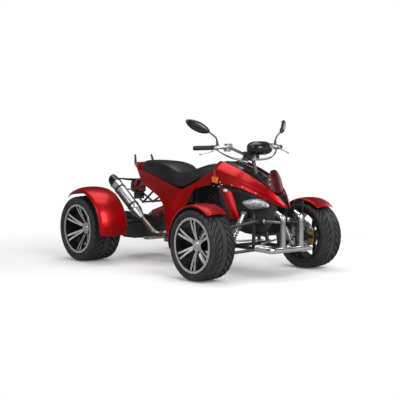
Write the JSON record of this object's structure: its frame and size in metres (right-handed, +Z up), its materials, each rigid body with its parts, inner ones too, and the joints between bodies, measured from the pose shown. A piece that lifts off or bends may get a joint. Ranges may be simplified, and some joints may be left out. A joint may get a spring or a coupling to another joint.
{
  "type": "quad bike",
  "caption": "Road quad bike with wide low tyres, red bodywork, hooked tube bumper, side muffler and mirrors.",
  "frame": {"origin": "on the floor, midway along the overall length, in the middle plane", "axes": "+Z up, -Y forward, +X towards the rider's left"},
  "size_m": [1.3232, 2.0259, 1.1091],
  "materials": {
    "painted_frame": "satin black paint",
    "engine_metal": "black engine paint with bare edges",
    "polished_tube": "polished",
    "spring_steel": "bright plated",
    "red_paint": "candy red gloss",
    "black_plastic": "gloss black",
    "satin_plastic": "grained black",
    "smoked_red": "smoked dark red",
    "clear_lens": "clear",
    "amber_lens": "amber",
    "red_lens": "dark red",
    "seat_vinyl": "grained black vinyl",
    "muffler_steel": "brushed",
    "alloy": "machined faces",
    "cast_alloy": "cast",
    "grip_rubber": "matt",
    "tyre_rubber": "matt"
  },
  "bodies": {
    "chassis": {"frame": "painted_frame", "engine": "engine_metal", "swingarm": "painted_frame", "rear_shock": "spring_steel", "front_arms": "painted_frame", "front_shocks": "spring_steel", "bumper": "polished_tube", "front_panels": "red_paint", "centre_panel": "black_plastic", "flyscreen": "smoked_red", "headlamps": "clear_lens", "front_indicators": "amber_lens", "seat": "seat_vinyl", "rear_panels": "red_paint", "tail_cover": "red_paint", "lower_panels": "red_paint", "grab_rails": "satin_plastic", "muffler": "muffler_steel", "muffler_tip": "black_plastic", "header_pipe": "muffler_steel", "tail_lamp": "red_lens", "plate_bracket": "painted_frame", "rear_fenders": "red_paint", "footrests": "cast_alloy"},
    "steering": {"steering_column": "painted_frame", "handlebar": "polished_tube", "grips": "grip_rubber", "controls": "cast_alloy", "instrument_pod": "satin_plastic", "mirrors": "black_plastic", "control_cables": "grip_rubber"},
    "rear_axle": {"axle_shaft": "alloy", "rear_rims": "alloy", "rear_tyre_left": "tyre_rubber", "rear_tyre_right": "tyre_rubber"},
    "knuckle_left": {"knuckle_left": "cast_alloy", "front_fender_left": "red_paint"},
    "front_wheel_left": {"front_rim_left": "alloy", "front_tyre_left": "tyre_rubber"},
    "tie_rod_left": {"tie_rod_left": "alloy"},
    "knuckle_right": {"knuckle_right": "cast_alloy", "front_fender_right": "red_paint"},
    "front_wheel_right": {"front_rim_right": "alloy", "front_tyre_right": "tyre_rubber"},
    "tie_rod_right": {"tie_rod_right": "alloy"}
  },
  "joints": [
    {"name": "steering_turn", "type": "hinge", "parent": "chassis", "child": "steering", "pos_m": [0, -0.746, 0.25], "axis": [0, 0.2582, 0.9661], "range_deg": [-30, 30]},
    {"name": "knuckle_turn_left", "type": "hinge", "parent": "chassis", "child": "knuckle_left", "pos_m": [0.4, -0.646, 0.2485], "axis": [0, 0, 1], "range_deg": [-30, 30]},
    {"name": "front_wheel_spin_left", "type": "hinge", "parent": "knuckle_left", "child": "front_wheel_left", "pos_m": [0.524, -0.646, 0.2485], "axis": [1, 0, 0], "continuous": true},
    {"name": "tie_rod_turn_left", "type": "hinge", "parent": "knuckle_left", "child": "tie_rod_left", "pos_m": [0.4, -0.588, 0.25], "axis": [0, 0, 1], "range_deg": [-30, 30]},
    {"name": "knuckle_turn_right", "type": "hinge", "parent": "chassis", "child": "knuckle_right", "pos_m": [-0.4, -0.646, 0.2485], "axis": [0, 0, 1], "range_deg": [-30, 30]},
    {"name": "front_wheel_spin_right", "type": "hinge", "parent": "knuckle_right", "child": "front_wheel_right", "pos_m": [-0.524, -0.646, 0.2485], "axis": [1, 0, 0], "continuous": true},
    {"name": "tie_rod_turn_right", "type": "hinge", "parent": "knuckle_right", "child": "tie_rod_right", "pos_m": [-0.4, -0.588, 0.25], "axis": [0, 0, 1], "range_deg": [-30, 30]},
    {"name": "rear_axle_spin", "type": "hinge", "parent": "chassis", "child": "rear_axle", "pos_m": [0, 0.754, 0.259], "axis": [1, 0, 0], "continuous": true}
  ],
  "couplings": [
    {"joint": "knuckle_turn_left", "follows": "steering_turn", "ratio": 1},
    {"joint": "tie_rod_turn_left", "follows": "steering_turn", "ratio": -1},
    {"joint": "knuckle_turn_right", "follows": "steering_turn", "ratio": 1},
    {"joint": "tie_rod_turn_right", "follows": "steering_turn", "ratio": -1}
  ]
}
